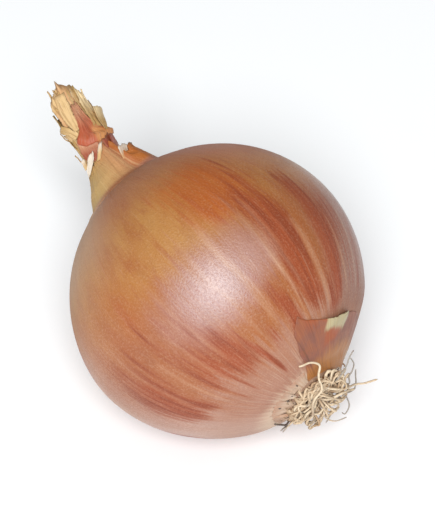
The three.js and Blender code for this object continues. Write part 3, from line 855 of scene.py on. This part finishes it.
# torn scrap of the outermost skin by the roots
scrap = {
    # polar angle, azimuth of the left edge
    "left": (
        (13.5, -24), (19, -27), (21, -24.8), (27, -20.5), (33, -20.2), (38, -17.8), (41.4, -17.4),
        (44, -15.5), (46.2, -13), (47.5, -11.4),
    ),
    "right": 86,
    "foot": 13.5,
    # azimuth, polar angle of the torn upper edge
    "top": (
        (-11.4, 47.5), (-5.3, 44), (-1.2, 42), (4.9, 39.5), (14.2, 37.7), (29.5, 37.2), (35, 35.8),
        (46, 35.7), (60, 34.6), (86, 33.5),
    ),
    "flap": {"from": 3, "to": 32, "foot": (34.6, 29.6), "lift": 1.0},
    "columns": 200,
    "rows": 60,
    "thickness": 0.09,
    "brown": (0.28, 0.085, 0.038),
    "plum": (0.23, 0.082, 0.053),
    "orange": (0.34, 0.070, 0.016),
    "warm": (0.40, 0.160, 0.046),
    "cream": (0.44, 0.37, 0.205),
    "dark": (0.10, 0.035, 0.015),
}


def scrapMaterial():
    material, start = newMaterial("scrapSkin")
    own = ownFrame(start)
    polar, turn, cosine, sine, _ = bulbAngles(own)
    azimuth = (turn - 0.5) * 360
    fine = start.vector(cosine * 30, sine * 30, polar / 26).noise(1.0, 4, 0.6)
    hair = start.vector(cosine * 85, sine * 85, polar / 12).noise(1.0, 2)
    cloud = own.noise(0.28, 3, 0.6)
    flap = scrap["flap"]
    wavy = azimuth + (fine - 0.5) * 6 - (polar - 36) * 0.8
    loose = wavy.step(flap["from"], flap["from"] + 3) * wavy.step(flap["to"] + 1, flap["to"] - 1)
    low, high = flap["foot"]
    foot = azimuth.step(flap["from"], flap["to"], low, high)
    loose = loose * (polar - foot + (fine - 0.5) * 5).step(-1.2, 1.6)
    under = wavy.step(4, 9) * wavy.step(28, 22)
    under = under * (polar + (fine - 0.5) * 5).step(26.5, 29.5) * polar.step(36, 33)
    tone = start.shade(scrap["brown"]).layered(scrap, (
        ("plum", cloud.step(0.4, 0.62)),
        ("orange", (polar + (fine - 0.5) * 16).step(37, 44) * azimuth.step(-12, -4) * 0.85),
        ("warm", (polar + (fine - 0.5) * 10).step(27, 21)),
        ("dark", fine.step(0.5, 0.75) * 0.55),
        ("orange", under * 0.9),
        ("cream", loose * 0.95),
        ("warm", hair.step(0.5, 0.75) * 0.35),
    ))
    surface(start, {
        "Base Color": tone,
        "Roughness": cloud.step(0.3, 0.7, 0.42, 0.56),
        "Specular IOR Level": 0.45,
        "Normal": bumped(start, fine + hair * 0.6, 0.00010),
    })
    return material


def scrapPiece():
    bm = bmesh.new()
    flap = scrap["flap"]

    def place(u, v):
        rough = blend(scrap["top"][0][0], scrap["right"], u)
        top = keyed(scrap["top"], rough) + 0.5 * torn(rough / 14, 3.1)
        polar = blend(scrap["foot"] + 0.8 * torn(rough / 9, 8.2), top, v)
        left = keyed(scrap["left"], polar) - scrap["top"][0][0] + 0.8 * torn(polar / 5, 1.4)
        azimuth = rough + left * (1 - u) ** 14 + 2.5 * torn(polar / 6, 6.6) * u**14
        raised = smooth(flap["from"] - 2, flap["from"] + 8, azimuth)
        raised *= smooth(flap["to"] + 3, flap["to"] - 8, azimuth)
        raised *= smooth(flap["foot"][1] - 1, top, polar) ** 1.5
        curl = 0.04 * smooth(0.9, 1, v) * (1 + ripple(rough / 5, 2, 2)) * smooth(40, 26, azimuth)
        wave = 0.05 * (1 + ripple(azimuth / 6, polar / 9, 4.4)) * smooth(0, 0.1, u)
        overPlate = 0.95 * smooth(20.5, 14, polar)
        return overBulb(polar, azimuth, 0.04 + wave + curl + overPlate + flap["lift"] * raised)

    layGrid(bm, scrap["columns"], scrap["rows"], place, lambda u, v: ((u, v, 0), (0, 0, 0)))
    finishPiece("skinScrap", bm, scrapMaterial(), "skin_scrap", scrap["thickness"])


scrapPiece()


# roots: a smooth line through a few points, wound round by a grid that closes on itself
rootTones = {
    "beige": (0.60, 0.455, 0.305),
    "pale": (0.70, 0.56, 0.395),
    "grey": (0.34, 0.30, 0.26),
    "brown": (0.45, 0.30, 0.18),
    "shade": (0.40, 0.27, 0.175),
    "dark": (0.11, 0.08, 0.065),
    "knot": (0.24, 0.13, 0.06),
    "bleached": (0.80, 0.65, 0.46),
    "cork": (0.26, 0.145, 0.09),
    "paleCork": (0.48, 0.33, 0.22),
}
# a value as it is, one of several names or a number between two; starts are shares of the tuft's reach
rootKinds = {
    "strand": {
        "count": 66, "length": (5, 13), "height": (1, 5), "curl": (0.15, 0.5), "points": 8, "steps": 14,
        "tone": ("beige", "beige", "pale", "brown"), "tipTone": ("beige", "pale", "beige", "brown"),
        "thick": (0.30, 0.44), "tipThick": (0.2, 0.32), "seeds": (0, 0.7),
    },
    "stub": {
        "count": 60, "length": (1.5, 3.5), "height": (0.5, 1.8), "curl": 0.4, "points": 4, "steps": 7,
        "tone": ("beige", "brown"), "tipTone": ("brown", "shade", "beige"),
        "thick": (0.28, 0.40), "tipThick": (0.2, 0.3), "seeds": (90, 1),
        "start": (0.6, 1.08), "startByScrap": (0.6, 0.8),
    },
    "speck": {
        "count": 34, "length": (0.5, 1.1), "height": 0.3, "curl": 0.4, "points": 3, "steps": 5,
        "tone": "shade", "tipTone": "dark", "thick": (0.16, 0.28), "tipThick": 0.14, "seeds": (300, 1),
        "start": (0.98, 1.3), "startByScrap": (0.98, 1.3),
    },
    "hair": {
        "count": 24, "length": (7, 13), "height": (1.5, 4.5), "curl": 0.35, "points": 7, "steps": 12,
        "tone": "beige", "tipTone": "grey", "thick": 0.17, "tipThick": 0.09, "seeds": (150, 1),
    },
}
tuft = {
    "sides": 5,
    "plate": 8,
    "sown": 0.95,  # share of the plate that strands start on
    "plateFloor": -36.1,
    "crown": -38.4,
    "dome": 0.9,  # how far the plate's rim lies back from its crown
    "reach": 9.3,
    "lopsided": (1.5, radians(-55)),  # how much shorter it reaches this way
    "tall": (0.55, 1.25, radians(125)),  # least and most share of the height, and where it is most
    "scrap": (-0.5, 1.5),  # azimuths that the scrap of skin covers
    "seed": 7,
    # single strands over the tuft: thickness, tones, then polar angle, azimuth and height above the bulb
    "single": (
        (0.36, ("pale", "pale"), ((8, -70, 0.5), (10.5, -65.3, 4.4), (17.3, -42.3, 5), (19.3, -34.7, 5.2),
            (19.3, -25.6, 5), (20.6, -21.8, 4.6), (23.2, -20.6, 4), (24.9, -17.9, 3.4), (26.9, -14, 3),
            (29.1, -15.4, 2.8), (31.4, -19.6, 2.6), (32.1, -24.4, 2.2), (32.1, -26.3, 1.6))),
        (0.36, ("pale", "beige"), ((9, -40, -1), (15, -20, 2.6), (12.3, -3, 4.5), (9, 39, 4.8),
            (14.9, 96, 5.7), (16.6, 91, 7.8), (19.3, 85, 10.4))),
        (0.38, ("pale", "beige"), ((5, -60, -1), (6.5, -20, 3.6), (7.7, 27, 5), (9.8, 84, 5),
            (13.9, 99, 6.3))),
        (0.34, ("beige", "pale"), ((9, -60, -1), (14.5, -29, 3.6), (9.3, -14, 4.6), (4.9, 74, 4.8),
            (11.2, 114, 5))),
        (0.36, ("pale", "beige"), ((9, -110, -1), (7.6, -121, 3), (6.7, -91, 3.6), (4.5, -104, 3.8),
            (3.4, -62, 3.8), (1.7, -5, 3.4))),
        (0.34, ("beige", "pale"), ((7, -30, -1), (6.6, -41, 3.4), (3.2, -171, 4.2), (9.6, 166, 4.9),
            (9.2, 153, 5.2), (9.7, 132, 5.2), (1.6, 73, 4))),
        (0.34, ("beige", "pale"), ((10, -40, -1), (11.9, -45, 2.8), (13.5, -53, 3.6), (14.4, -64, 3.4))),
        (0.32, ("beige", "beige"), ((12, -35, -1), (17, -28, 2.4), (14.6, -24, 3.8), (10.2, -16, 4),
            (4.5, 34, 3.8))),
        (0.30, ("beige", "brown"), ((12, -60, -1), (13.8, -61, 2), (15.9, -65, 2.8), (17.3, -71, 2.6),
            (17, -80, 2))),
        (0.28, ("beige", "brown"), ((11, 0, -1), (13.5, 2, 3), (16.7, -7, 3.4), (20.2, -12, 3))),
        (0.24, ("grey", "grey"), ((8, 20, -1), (13, 6, 3), (16.5, 3, 4.5), (17.6, 10, 4.5), (19.7, 16, 4.5),
            (22.8, 19, 4.5), (24.6, 25, 4.5))),
        (0.22, ("grey", "grey"), ((6, 60, -1), (10.3, 63, 4.4), (13.8, 34, 5), (15.8, 38, 5), (18.9, 32, 5),
            (22.7, 19, 4.6))),
        (0.24, ("grey", "grey"), ((6, 100, -1), (10, 104, 4), (13.4, 101, 6), (15.3, 95, 5.8),
            (14.5, 67, 5.4), (16.7, 42, 5.4))),
        (0.22, ("grey", "grey"), ((3, 40, -1), (6.5, 61, 4.6), (10.9, 115, 6.2), (10.1, 121, 7.4),
            (9.1, 135, 7.8), (9.1, 138, 6.9))),
        (0.20, ("beige", "grey"), ((3, -120, -1), (4, -149, 3.8), (9.6, 169, 5.9), (9, 159, 7.4),
            (8.9, 137, 8.7))),
        (0.26, ("dark", "dark"), ((9, -85, -1), (11.3, -90, 2.6), (9.8, -148, 3.4), (11.4, -174, 4.1),
            (10.6, -179, 5.2))),
        (0.32, ("dark", "dark"), ((12, -125, -0.5), (16, -124.6, 1.2), (18.1, -109, 1.2),
            (20.7, -101.3, 1.0))),
        (0.24, ("dark", "grey"), ((12, -150, -0.5), (17.9, -151.7, 1.2), (19.3, -148.8, 1.2),
            (20.5, -146.7, 1.3), (21.5, -145, 1.6))),
        # dark specks beside the plate
        (0.26, ("dark", "dark"), ((22.9, -38.6, -0.2), (22.3, -38.6, 0.3), (21.8, -38.2, 0))),
        (0.26, ("dark", "dark"), ((21.5, -72.1, -0.2), (21, -72.1, 0.3), (20.5, -71.6, 0))),
        (0.22, ("dark", "dark"), ((20.7, -52, -0.2), (20.1, -51.5, 0.3), (19.6, -50.4, 0))),
        (0.22, ("dark", "dark"), ((20.4, -60.6, -0.2), (20, -59.8, 0.3), (19.4, -58.6, 0))),
        (0.22, ("beige", "grey"), ((9, -95, -0.5), (13, -98, 2), (16, -105.7, 2.5), (18.9, -126, 2.5))),
        (0.26, ("beige", "grey"), ((3, 150, -1), (8, 160, 4), (13, 150, 5), (15, 168, 6.4))),
    ),
}


def through(points, t):
    # Catmull-Rom line through the points
    last = len(points) - 1
    i = min(int(t * last), last - 1)
    f = t * last - i
    a, b, c, d = (points[min(max(k, 0), last)] for k in range(i - 1, i + 3))
    return 0.5 * (2 * b + (c - a) * f + (2 * a - 5 * b + 4 * c - d) * f * f + (3 * b - a - 3 * c + d) * f**3)


def strand(bm, points, radius, tipRadius, tones, seed, steps):
    line = [through(points, step / steps) for step in range(steps + 1)]
    rings = []
    side = (line[1] - line[0]).orthogonal().normalized()
    for step, point in enumerate(line):
        ahead = (line[min(step + 1, steps)] - line[max(step - 1, 0)]).normalized()
        side = (side - ahead * side.dot(ahead)).normalized()
        t = step / steps
        thick = blend(radius, tipRadius, t) * (1 + 0.18 * ripple(t * 7, seed, 1.1))
        rings.append((point, side, ahead.cross(side), 0 if step in (0, steps) else thick))
    length = sum((b - a).length for a, b in zip(line, line[1:]))

    def place(u, v):
        point, n, b, thick = rings[round(v * steps)]
        return point + thick * (cos(2 * pi * u) * n + sin(2 * pi * u) * b)

    def note(u, v):
        tone = Vector(rootTones["shade"]).lerp(Vector(rootTones[tones[0]]), smooth(0, 0.3, v))
        tone = tone.lerp(Vector(rootTones[tones[1]]), smooth(0.55, 1, v))
        return (u, v * length, seed), tone

    layGrid(bm, tuft["sides"], steps, place, note)


def tuftFloor(x, y):
    # height of the plate or of the bulb round it
    radius = hypot(x, y)
    if radius < tuft["plate"]:
        return tuft["crown"] + tuft["dome"] * (radius / tuft["plate"]) ** 2
    return outline(polarAt(radius))[1]


def reachAt(azimuth):
    by, towards = tuft["lopsided"]
    return tuft["reach"] - by * cos(azimuth - towards)


def overScrap(azimuth):
    low, high = tuft["scrap"]
    return low < remainder(azimuth, 2 * pi) < high


def tangled(rng, start, length, height, points, curl):
    # a strand that rises from the plate and curls over it
    ring, azimuth = start
    x, y = ring * cos(azimuth), ring * sin(azimuth)
    heading = azimuth + rng.uniform(-1.4, 1.4)
    bend = rng.choice((-1, 1)) * rng.uniform(0.15, 1) * curl
    peak = rng.uniform(0.3, 0.75)
    line = [Vector((x, y, tuftFloor(x, y) + 0.8))]
    for step in range(1, points + 1):
        t = step / points
        stride = length / points * (0.35 if step == 1 else 1)
        x += stride * cos(heading)
        y += stride * sin(heading)
        heading += (bend + rng.uniform(-0.3, 0.3) * curl) * stride
        inward = atan2(-y, -x) - heading
        outside = smooth(0.8, 1.2, hypot(x, y) / reachAt(atan2(y, x)))
        heading += 0.9 * atan2(sin(inward), cos(inward)) * outside
        lift = height * sin(pi / 2 * min(t / peak, 1 + 0.55 * max(0, t - peak)))
        line.append(Vector((x, y, tuftFloor(x, y) - max(0.4, lift) - rng.uniform(0, 0.4))))
    return line


def drawn(rng, value):
    if not isinstance(value, tuple):
        return value
    return rng.choice(value) if isinstance(value[0], str) else rng.uniform(*value)


def rootStart(rng, name, i):
    # distance from the middle of the plate, azimuth
    plate, kind = tuft["plate"], rootKinds[name]
    if name == "strand":
        goldenAngle = 2.39996  # spreads the starts evenly
        return plate * tuft["sown"] * sqrt((i + 0.5) / kind["count"]), i * goldenAngle
    if name == "hair":
        return plate * sqrt(rng.random()), rng.uniform(0, 2 * pi)
    azimuth = rng.uniform(0, 2 * pi)
    share = rng.uniform(*kind["startByScrap" if overScrap(azimuth) else "start"])
    return reachAt(azimuth) * share, azimuth


def rootTuft():
    rng = random.Random(tuft["seed"])
    least, most, towards = tuft["tall"]
    bm = bmesh.new()
    for name, kind in rootKinds.items():
        for i in range(kind["count"]):
            start = rootStart(rng, name, i)
            length, height, curl = [drawn(rng, kind[key]) for key in ("length", "height", "curl")]
            if name == "strand":
                height *= blend(least, most, 0.5 + 0.5 * cos(start[1] - towards))
            line = tangled(rng, start, length, height, kind["points"], curl)
            if name == "speck" and overScrap(start[1]):
                continue
            tones = [drawn(rng, kind[key]) for key in ("tone", "tipTone")]
            thick, tipThick = [drawn(rng, kind[key]) for key in ("thick", "tipThick")]
            first, apart = kind["seeds"]
            strand(bm, line, thick, tipThick, tones, first + i * apart, kind["steps"])
    bm.transform(rootTurn)
    for i, (thick, tones, points) in enumerate(tuft["single"]):
        line = [overBulb(polar, azimuth, lift) for polar, azimuth, lift in points]
        strand(bm, line, thick, thick * 0.75, tones, 200 + i, 4 * len(points))
    bmesh.ops.remove_doubles(bm, verts=bm.verts, dist=1e-4)
    finishPiece("rootTuft", bm, rootMaterial(), "root_tuft")


def rootMaterial():
    material, start = newMaterial("dryRoot")
    at = start.attribute("ownMap", "Vector")
    tone = start.attribute("ownTone", "Color")
    around, along, seed = parts(at)
    knot = start.vector(around * 2, along * 0.9, seed).noise(1.0, 3, 0.6)
    tone = tone.mixed(rootTones["knot"], knot.step(0.48, 0.75) * 0.5)
    tone = tone.mixed(rootTones["bleached"], knot.step(0.45, 0.28) * 0.3)
    surface(start, {
        "Base Color": tone,
        "Roughness": knot.step(0.3, 0.7, 0.62, 0.8),
        "Specular IOR Level": 0.3,
        "Normal": bumped(start, knot, 0.00008),
    })
    return material


def corkMaterial():
    material, start = newMaterial("rootPlateCork")
    own = ownFrame(start)
    pit = own.noise(0.8, 4, 0.7)
    tone = start.shade(rootTones["cork"]).mixed(rootTones["paleCork"], pit.step(0.45, 0.7))
    surface(start, {
        "Base Color": tone,
        "Roughness": pit.step(0.3, 0.7, 0.75, 0.9),
        "Normal": bumped(start, pit, 0.0003),
    })
    return material


def rootPlate():
    # corky crown between the roots
    radius, crown, floor = tuft["plate"], tuft["crown"], tuft["plateFloor"]
    profile = [(radius * k / 10, crown + tuft["dome"] * (k / 10) ** 2) for k in range(11)]
    profile += [(radius, floor), (0, floor)]
    bm = spun(profile, 64)
    for vert in bm.verts:
        x, y, z = vert.co
        if z < floor - 0.4:
            vert.co.z += 0.35 * ripple(x * 0.9, y * 0.9, 3) - 0.2 * abs(ripple(x * 2, y * 2, 7))
    bm.transform(rootTurn)
    finishPiece("rootPlate", bm, corkMaterial())


rootTuft()
rootPlate()

# papery skin torn round the roots
rootSkin = {
    "count": 19,
    "outer": 18.5,
    "inner": 11.2,
    "lift": (0.4, 1.0),
    "width": (10, 26),
    "columns": 26,
    "rows": 14,
    "thickness": 0.14,
    "scrap": (-30, 86),  # none over the scrap's azimuths
    "seed": 4,
}


def rootSkinPiece():
    rng = random.Random(rootSkin["seed"])
    bm = bmesh.new()
    for i in range(rootSkin["count"]):
        middle = i * 360 / rootSkin["count"] + rng.uniform(-8, 8)
        width, lift = rng.uniform(*rootSkin["width"]), rng.uniform(*rootSkin["lift"])
        inner = rootSkin["inner"] + rng.uniform(-1.2, 1.4)
        seed = 40 + i * 1.9
        tip = rng.choice(("lilac", "white", "blush"))
        if rootSkin["scrap"][0] < (middle + 180) % 360 - 180 < rootSkin["scrap"][1]:
            continue

        def place(u, v):
            foot = rootSkin["outer"] + 0.8 * torn(u * 2, seed)
            polar = blend(foot, inner + 0.9 * torn(u * 2.4, seed + 5), v)
            azimuth = middle + (u - 0.5) * width * blend(1, 0.7, v)
            azimuth += 2 * torn(v * 1.5, seed + 8) * (2 * u - 1) ** 3
            raised = 0.02 + lift * v**1.8 * (1 + 0.5 * ripple(u * 3, v, seed))
            return overBulb(polar, azimuth, raised)

        def note(u, v):
            tone = Vector(leafTones["rose"]).lerp(Vector(leafTones["lilac"]), smooth(0, 0.6, v))
            tone = tone.lerp(Vector(leafTones[tip]), v * v)
            rag = 0.05 * ripple(u * 9, 1, seed)
            tone = tone.lerp(Vector(leafTones["brown"]), 0.7 * smooth(0.88, 1, v + rag))
            return (u * 6, v * 4, seed), tone

        layGrid(bm, rootSkin["columns"], rootSkin["rows"], place, note)
    bm.transform(rootTurn)
    finishPiece("rootSkin", bm, tornPaper, None, rootSkin["thickness"])


rootSkinPiece()


# floor, lights and camera
studio = {
    "lens": 120.3,
    "distance": 0.45,
    "aimUp": 0.0081,
    "aimRight": 0.0001,
    "azimuth": 45,
    "elevation": 45,
    "key": {"size": 1.44, "power": 84, "colour": (0.95, 0.98, 1), "at": (0.485, -0.505, 0.715), "away": 2.6},
    "world": 0.32,
}


def studioSet():
    scene = bpy.context.scene
    bm = bmesh.new()
    bmesh.ops.create_grid(bm, x_segments=1, y_segments=1, size=3)
    mesh = bpy.data.meshes.new("floor")
    bm.to_mesh(mesh)
    bm.free()
    floor = bpy.data.objects.new("floor", mesh)
    scene.collection.objects.link(floor)
    material, start = newMaterial("paleFloor")
    surface(start, {"Base Color": (0.96, 0.96, 0.96, 1), "Roughness": 0.9, "Specular IOR Level": 0.1})
    mesh.materials.append(material)

    world = bpy.data.worlds.new("softWhite")
    scene.world = world
    world.use_nodes = True
    backdrop = world.node_tree.nodes["Background"]
    backdrop.inputs["Color"].default_value = (1, 1, 1, 1)
    backdrop.inputs["Strength"].default_value = studio["world"]

    middle = Vector(pose["middle"])
    key = studio["key"]
    light = bpy.data.lights.new("key", "AREA")
    light.shape = "DISK"
    light.size = key["size"]
    light.energy = key["power"]
    light.color = key["colour"]
    lamp = bpy.data.objects.new("key", light)
    direction = Vector(key["at"]).normalized()
    lamp.location = middle + direction * key["away"]
    lamp.rotation_euler = direction.to_track_quat("Z", "Y").to_euler()
    scene.collection.objects.link(lamp)

    a, e = radians(studio["azimuth"]), radians(studio["elevation"])
    back = Vector((sin(a) * cos(e), -cos(a) * cos(e), sin(e)))
    right = Vector((cos(a), sin(a), 0))
    camera = bpy.data.cameras.new("camera")
    camera.lens = studio["lens"]
    camera.sensor_width = 36
    eye = bpy.data.objects.new("camera", camera)
    aim = middle + back.cross(right) * studio["aimUp"] + right * studio["aimRight"]
    eye.location = aim + back * studio["distance"]
    eye.rotation_euler = back.to_track_quat("Z", "Y").to_euler()
    scene.collection.objects.link(eye)
    scene.camera = eye
    scene.view_settings.view_transform = "Standard"
    print("studio ready")


studioSet()
